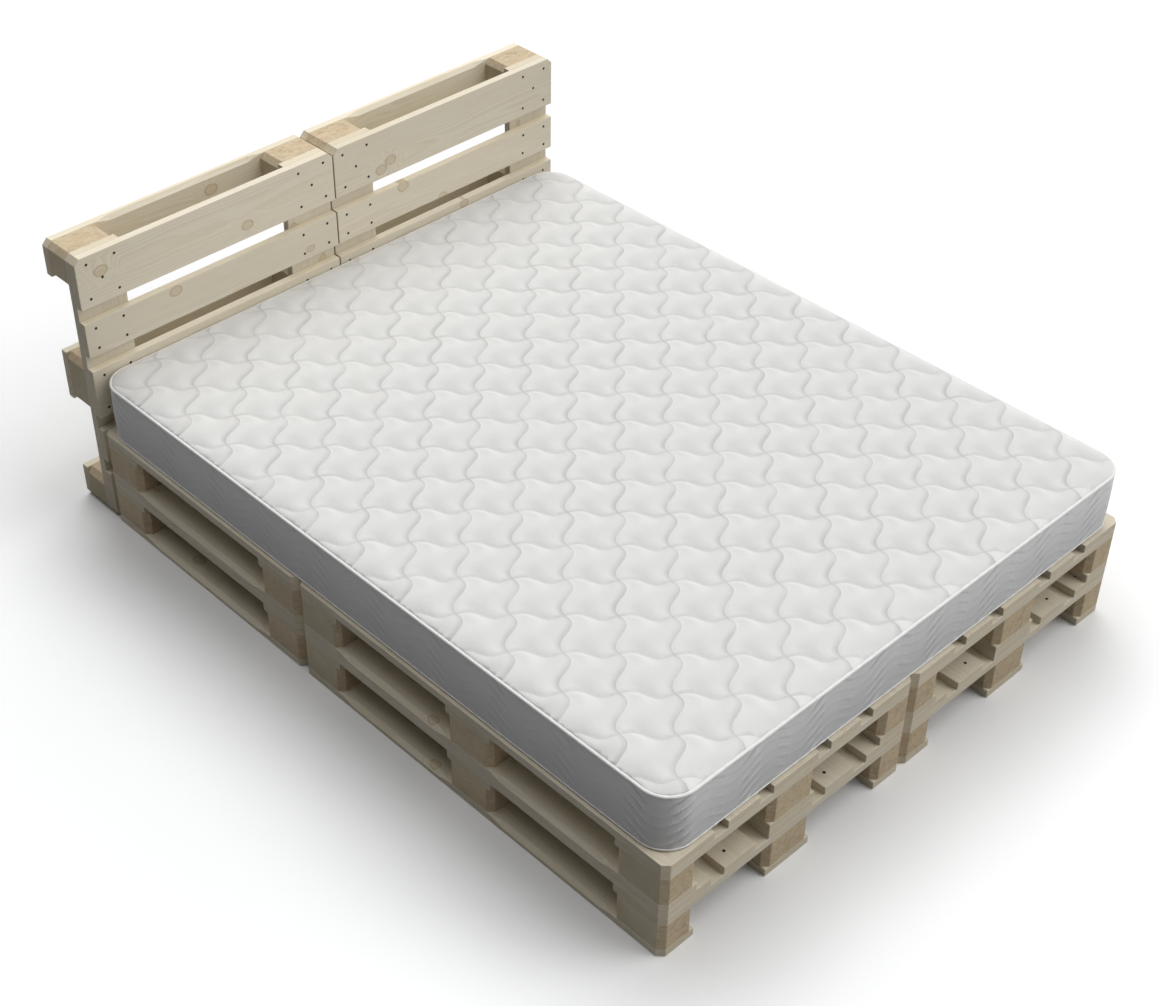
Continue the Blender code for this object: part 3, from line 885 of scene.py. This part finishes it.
def outline_path(step):
    """Evenly spaced (point, outward normal) round the mattress, and the distance to each and all round."""
    centre, half = mattress_plan()
    straight_x = half.x - CORNER_RADIUS
    straight_y = half.y - CORNER_RADIUS
    quarter = CORNER_RADIUS * math.pi / 2
    runs = 2 * (2 * straight_x, quarter, 2 * straight_y, quarter)
    corners = ((1, -1), (1, 1), (-1, 1), (-1, -1))
    total = sum(runs)
    count = round(total / step)
    path = []
    for i in range(count):
        left = total * i / count
        side = 0
        while left > runs[side]:
            left -= runs[side]
            side += 1
        corner_x, corner_y = corners[side // 2]
        angle = (side // 2 - 1) * math.pi / 2
        back = runs[side] - left
        if side % 2:
            angle += left / CORNER_RADIUS
            back = 0.0
        normal = Vector((math.cos(angle), math.sin(angle)))
        point = Vector((corner_x * straight_x, corner_y * straight_y)) + CORNER_RADIUS * normal
        point -= back * Vector((-normal.y, normal.x))
        path.append((point + centre.xy, normal))
    return path, [total * i / count for i in range(count)] + [total]


def depth_inside(x, y):
    """How far points of the plan lie inside the mattress's widest line."""
    centre, half = mattress_plan()
    off_x = np.abs(x - centre.x) - (half.x - CORNER_RADIUS)
    off_y = np.abs(y - centre.y) - (half.y - CORNER_RADIUS)
    outside = np.hypot(np.maximum(off_x, 0), np.maximum(off_y, 0))
    return CORNER_RADIUS - outside - np.minimum(np.maximum(off_x, off_y), 0)


def swing(wave, turn):
    """How far a sewn line swings to the side, in tile sides."""
    found = 0.0
    for count, sine, cosine in wave:
        angle = TURN * count * turn
        found = found + sine * np.sin(angle) + cosine * np.cos(angle)
    return found / TILE_UP.length


def lattice(x, y):
    """Quilting coordinates: whole numbers lie on the sewn lines."""
    off_x = (x - CROSSING.x) / (2 * TILE_UP.x)
    off_y = (y - CROSSING.y) / (2 * TILE_UP.y)
    u = off_x - off_y
    v = off_x + off_y
    return u + swing(WAVE_UP, v), v - swing(WAVE_DOWN, u)


def plan_of(p, q):
    """The plan point with these quilting coordinates, found by repeated correction."""
    u = p.copy()
    v = q.copy()
    for _ in range(LATTICE_ROUNDS):
        u = p - swing(WAVE_UP, v)
        v = q + swing(WAVE_DOWN, u)
    return CROSSING.x + TILE_UP.x * (u + v), CROSSING.y + TILE_UP.y * (v - u)


def panel_height(x, y, p, q):
    """Height of the quilted top: pillows between the sewn lines, tucked down at the piping."""
    side = TILE_UP.length
    from_p = np.abs(p - np.round(p)) * side
    from_q = np.abs(q - np.round(q)) * side
    broad = np.abs(np.sin(np.pi * p) * np.sin(np.pi * q)) ** TILE_BROAD_POWER
    near = (1 - np.exp(-from_p / TILE_NEAR_REACH)) * (1 - np.exp(-from_q / TILE_NEAR_REACH))
    full = SEAM_HEIGHT + TILE_BROAD * broad + TILE_NEAR * near
    inside = depth_inside(x, y) - PANEL_INSET
    tuck = 1 - np.exp(-np.maximum(inside, 0) / PANEL_EDGE_REACH)
    return PANEL_EDGE_HEIGHT + (full - PANEL_EDGE_HEIGHT) * tuck


def quilt_grid():
    """A sheet whose grid lines lie on the sewn lines, a little larger than the panel."""
    steps = sorted(TILE_STEPS + (0.5,) + tuple(1 - step for step in TILE_STEPS[1:]))
    half = mattress_plan()[1]
    reach = math.ceil((half.x / TILE_UP.x + half.y / TILE_UP.y) / 2) + SPARE_TILES
    values = np.array([i + step for i in range(-reach, reach) for step in steps])
    p, q = np.meshgrid(values, values, indexing="ij")
    x, y = plan_of(p, q)
    near = depth_inside(x, y) > PANEL_INSET - RIM_MARGIN
    index = np.arange(x.size).reshape(x.shape)
    corners = (index[:-1, :-1], index[1:, :-1], index[1:, 1:], index[:-1, 1:])
    keep = near[:-1, :-1] | near[1:, :-1] | near[1:, 1:] | near[:-1, 1:]
    faces = np.stack([corner[keep] for corner in corners], axis=1)
    used, faces = np.unique(faces, return_inverse=True)
    verts = np.stack([x.ravel()[used], y.ravel()[used], np.zeros(len(used))], axis=1)
    mesh = bpy.data.meshes.new("quilt_grid")
    mesh.from_pydata(verts.tolist(), [], faces.reshape(-1, 4).tolist())
    bm = bmesh.new()
    bm.from_mesh(mesh)
    bpy.data.meshes.remove(mesh)
    return bm


def clip(bm, point, normal, near=None):
    """Cuts off what lies beyond a plane. near(place) limits the work to one corner."""
    verts = bm.verts if near is None else [vert for vert in bm.verts if near(vert.co)]
    geom = dict.fromkeys(item for vert in verts for item in (vert, *vert.link_edges, *vert.link_faces))
    plane = {"plane_co": (*point, 0), "plane_no": (*normal, 0)}
    bmesh.ops.bisect_plane(bm, geom=list(geom), **plane, clear_outer=True, dist=CUT_TOLERANCE)


def clip_to_panel(bm):
    """Cuts the sheet to the panel's rounded rectangle."""
    centre, half = mattress_plan()
    for side in (-1, 1):
        clip(bm, (centre.x + side * (half.x - PANEL_INSET), 0), (side, 0))
        clip(bm, (0, centre.y + side * (half.y - PANEL_INSET)), (0, side))
    radius = CORNER_RADIUS - PANEL_INSET
    for corner_x in (-1, 1):
        for corner_y in (-1, 1):
            hub_x = centre.x + corner_x * (half.x - CORNER_RADIUS)
            hub_y = centre.y + corner_y * (half.y - CORNER_RADIUS)

            def in_corner(co):
                return (co.x - hub_x) * corner_x > -RIM_MARGIN and (co.y - hub_y) * corner_y > -RIM_MARGIN

            for step in range(1, CORNER_CUTS):
                angle = step / CORNER_CUTS * math.pi / 2
                normal = Vector((corner_x * math.cos(angle), corner_y * math.sin(angle)))
                clip(bm, Vector((hub_x, hub_y)) + radius * normal, normal, in_corner)


def settle(obj, held):
    """Lets the sewn sheet swell as cloth with its seams held, and keeps the result within small caps."""
    rest = np.array([vert.co for vert in obj.data.vertices])
    group = obj.vertex_groups.new(name="sewn")
    group.add([int(i) for i in held], 1.0, "REPLACE")
    cloth = obj.modifiers.new("swell", "CLOTH")
    cloth.point_cache.frame_end = CLOTH_FRAMES
    cloth.settings.vertex_group_mass = group.name
    cloth.settings.effector_weights.gravity = 0
    for key, value in CLOTH_SETTINGS.items():
        setattr(cloth.settings, key, value)
    for number in range(1, CLOTH_FRAMES + 1):
        bpy.context.scene.frame_set(number)
    swollen = obj.evaluated_get(bpy.context.evaluated_depsgraph_get()).data
    moved = np.array([vert.co for vert in swollen.vertices]) - rest
    moved = np.clip(moved, -CLOTH_CAPS, CLOTH_CAPS)
    obj.modifiers.remove(cloth)
    obj.vertex_groups.clear()
    bpy.context.scene.frame_set(1)
    obj.data.vertices.foreach_set("co", (rest + moved).ravel())


def subdivided(obj):
    """The mesh after one step of smooth subdivision, with its attributes."""
    modifier = obj.modifiers.new("smooth", "SUBSURF")
    modifier.levels = 1
    modifier.boundary_smooth = "PRESERVE_CORNERS"
    smooth = bpy.data.meshes.new_from_object(obj.evaluated_get(bpy.context.evaluated_depsgraph_get()))
    bpy.data.objects.remove(obj)
    return smooth


def of_kind(items, kind):
    return [item for item in items if isinstance(item, kind)]


def quilted_top():
    """The top panel: pillows that follow the sewn lines, swollen as cloth, closed by a flat underside."""
    bm = quilt_grid()
    clip_to_panel(bm)
    layer = bm.verts.layers.float_vector.new("quilt")
    plan = np.array([vert.co[:2] for vert in bm.verts])
    p, q = lattice(plan[:, 0], plan[:, 1])
    height = panel_height(plan[:, 0], plan[:, 1], p, q)
    for i, vert in enumerate(bm.verts):
        vert.co.z = height[i]
        vert[layer] = (p[i], q[i], 0.0)
    on_seam = (np.abs(p - np.round(p)) < SEAM_WIDTH) | (np.abs(q - np.round(q)) < SEAM_WIDTH)
    on_rim = np.array([vert.is_boundary for vert in bm.verts])
    sheet = mesh_object("quilted_sheet", bm, ticking)
    settle(sheet, np.flatnonzero(on_seam | on_rim))
    bm = bmesh.new()
    smooth = subdivided(sheet)
    bm.from_mesh(smooth)
    bpy.data.meshes.remove(smooth)
    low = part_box("mattress_top_panel")[0]
    rim = [edge for edge in bm.edges if edge.is_boundary]
    down = bmesh.ops.extrude_edge_only(bm, edges=rim)["geom"]
    for vert in of_kind(down, bmesh.types.BMVert):
        vert.co.z = low.z
    underside = bmesh.ops.contextual_create(bm, geom=of_kind(down, bmesh.types.BMEdge))["faces"]
    bmesh.ops.recalc_face_normals(bm, faces=bm.faces)
    for face in bm.faces:
        face.smooth = face not in underside
    obj = mesh_object("mattress_top", bm, ticking)
    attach(obj, "mattress")
    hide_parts("mattress_top_panel")


def join_rings(bm, rings, layer, runs, levels):
    """Closes rings of vertices into a tube, and writes each face corner's place on the cloth."""
    for ring, beyond, near, far in zip(rings, rings[1:] + rings[:1], runs, runs[1:]):
        for face, low, high in zip(join_pair(bm, ring, beyond), levels, levels[1:]):
            for corner, place in zip(face.loops, ((near, low), (far, low), (far, high), (near, high))):
                corner[layer] = (*place, 0.0)
    bmesh.ops.recalc_face_normals(bm, faces=bm.faces)


def border():
    """The side band, bulging at mid height. Its waves run both ways from a trough at a foot corner."""
    path, runs = outline_path(OUTLINE_STEP)
    total = runs[-1]
    low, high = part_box("mattress_border")
    low.z -= BORDER_OVER_PIPING
    height = high.z - low.z
    trough = BORDER_TROUGH_AT + CORNER_RADIUS * math.pi / 4
    runs = [(run + trough) % total for run in runs]
    runs = [min(run, total - run) - BORDER_FIRST_CLIMB for run in runs]
    levels = [height * row / BORDER_ROWS for row in range(BORDER_ROWS + 1)]
    bm = bmesh.new()
    layer = bm.loops.layers.float_vector.new("wave")
    rings = []
    for (point, normal), run in zip(path, runs):
        phase = TURN * run / BORDER_WAVE_LENGTH
        climb = BORDER_LEAST_RELIEF + (1 - BORDER_LEAST_RELIEF) * max(math.cos(phase), 0.0) ** 2
        ring = []
        for level in levels:
            share = level / height
            channel = (level - BORDER_WAVE * math.sin(phase)) / BORDER_CHANNEL
            fade = min(1.0, BORDER_FADE * share, BORDER_FADE * (1 - share))
            relief = -BORDER_RELIEF * climb * fade * (0.5 + 0.5 * math.cos(TURN * channel))
            place = point + normal * (BORDER_BULGE * (4 * share * (1 - share) - 1) + relief)
            ring.append(bm.verts.new((*place, low.z + level)))
        place = point - normal * (BORDER_THICKNESS + BORDER_BULGE)
        ring += [bm.verts.new((*place, z)) for z in (high.z, low.z)]
        rings.append(ring)
    join_rings(bm, rings, layer, runs, levels + [height, 0.0, 0.0])
    obj = mesh_object("mattress_side_band", bm, side_cloth)
    obj.data.shade_smooth()
    obj.data.set_sharp_from_angle(angle=CRISP_FROM)
    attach(obj, "mattress")
    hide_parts("mattress_border")


def piping(name, node, thickness):
    """A welt of bias tape round the mattress, with slight pulls where it is sewn."""
    path, runs = outline_path(OUTLINE_STEP)
    low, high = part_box(node)
    height = (low.z + high.z) / 2
    angles = [TURN * step / PIPING_SIDES for step in range(PIPING_SIDES + 1)]
    bm = bmesh.new()
    layer = bm.loops.layers.float_vector.new("tape")
    rings = []
    for (point, normal), run in zip(path, runs):
        pull = sum(depth * math.sin(TURN * run / wave) for depth, wave in PIPING_PULLS)
        radius = thickness - PIPING_SEWN_IN + pull
        centre = point - normal * thickness
        ring = []
        for angle in angles[:-1]:
            inner = math.cos(angle) < 0
            power = PIPING_INNER_POWER if inner else 1.0
            out = abs(math.cos(angle)) ** power * (-PIPING_INNER_REACH if inner else 1.0)
            up = math.copysign(abs(math.sin(angle)) ** power, math.sin(angle))
            place = centre + normal * radius * out
            ring.append(bm.verts.new((*place, height + radius * up)))
        rings.append(ring)
    join_rings(bm, rings, layer, runs, [thickness * angle for angle in angles])
    obj = mesh_object(name, bm, tape)
    obj.data.shade_smooth()
    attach(obj, "mattress")
    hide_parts(node)


def slab(name, node, finish, rounding):
    """A flat soft slab of the mattress's outline with rounded edges, in its node's place."""
    low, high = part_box(node)
    inset = mattress_plan()[1].x - (high.x - low.x) / 2
    path = outline_path(SLAB_STEP)[0]
    bm = bmesh.new()
    face = bm.faces.new([bm.verts.new((*(point - normal * inset), low.z)) for point, normal in path])
    raised = bmesh.ops.extrude_face_region(bm, geom=[face])["geom"]
    bmesh.ops.translate(bm, vec=(0, 0, high.z - low.z), verts=of_kind(raised, bmesh.types.BMVert))
    bmesh.ops.recalc_face_normals(bm, faces=bm.faces)
    round_edges(bm, rounding, 3)
    obj = mesh_object(name, bm, finish)
    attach(obj, "mattress")
    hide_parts(node)


# Room


def camera():
    data = bpy.data.cameras.new("camera")
    data.lens = CAMERA_LENS
    data.sensor_width = CAMERA_SENSOR
    data.sensor_fit = "HORIZONTAL"
    data.shift_x, data.shift_y = CAMERA_SHIFT
    obj = bpy.data.objects.new("camera", data)
    obj.location = CAMERA_PLACE
    obj.rotation_euler = [math.radians(angle) for angle in CAMERA_TURN]
    bpy.context.scene.collection.objects.link(obj)
    bpy.context.scene.camera = obj


def suns():
    """Soft studio lamps, far enough away to light everything evenly."""
    for name, azimuth, elevation, width, strength in SUNS:
        data = bpy.data.lights.new(name, "SUN")
        data.energy = strength
        data.angle = math.radians(width)
        obj = bpy.data.objects.new(name, data)
        obj.rotation_euler = (math.radians(90 - elevation), 0, math.radians(azimuth))
        bpy.context.scene.collection.objects.link(obj)


def floor():
    bm = bmesh.new()
    bmesh.ops.create_grid(bm, x_segments=1, y_segments=1, size=FLOOR_SIZE)
    s = Shader("pale_floor", {"Specular IOR Level": 0.0})
    # Painted shadow: the floor's seen colour is darker where the object's ambient occlusion reaches
    inputs = {"Distance": FLOOR_PAINTED_SHADE_REACH}
    nearby = s.node("ShaderNodeAmbientOcclusion", inputs, samples=FLOOR_PAINTED_SHADE_SAMPLES)
    shade = s.ranged(nearby.outputs["AO"], *FLOOR_PAINTED_SHADE_SPAN, FLOOR_PAINTED_SHADE * FLOOR_SEEN, FLOOR_SEEN)
    shade = s.joined(*(s.times(shade, part) for part in FLOOR_TINT))
    pale = s.finish(s.mixed(s.seen_directly(), (FLOOR_BOUNCE,) * 3, shade), 1.0)
    mesh_object("floor", bm, pale)


def world():
    s = Shader("studio", {"Color": (1, 1, 1, 1)}, "worlds", "Background")
    strength = s.ranged(s.seen_directly(), 0.0, 1.0, WORLD_LIGHT, 1.0, smooth=False)
    s.fill(s.surface, {"Strength": strength})
    bpy.context.scene.world = s.owner


camera()
pine = pine_material()
chipboard = chipboard_material()
steel = nail_material()
ticking = ticking_material()
side_cloth = border_material()
tape = piping_material()
foam = foam_material()

for node in sorted(frame["nodes"]):
    if node.endswith("_deck"):
        flat_pallet(node.removesuffix("_deck"))
    elif node.endswith("_deck_board_1"):
        standing_pallet(node.removesuffix("_deck_board_1"))

quilted_top()
border()
piping("mattress_welt_top", "mattress_piping_top", PIPING_RADIUS)
piping("mattress_welt_bottom", "mattress_piping_bottom", LOWER_PIPING_RADIUS)
slab("mattress_underside", "mattress_bottom_panel", ticking, UNDERSIDE_ROUNDING)
slab("mattress_foam", "mattress_core", foam, FOAM_ROUNDING)

floor()
world()
suns()

bpy.context.scene.view_settings.view_transform = "Standard"
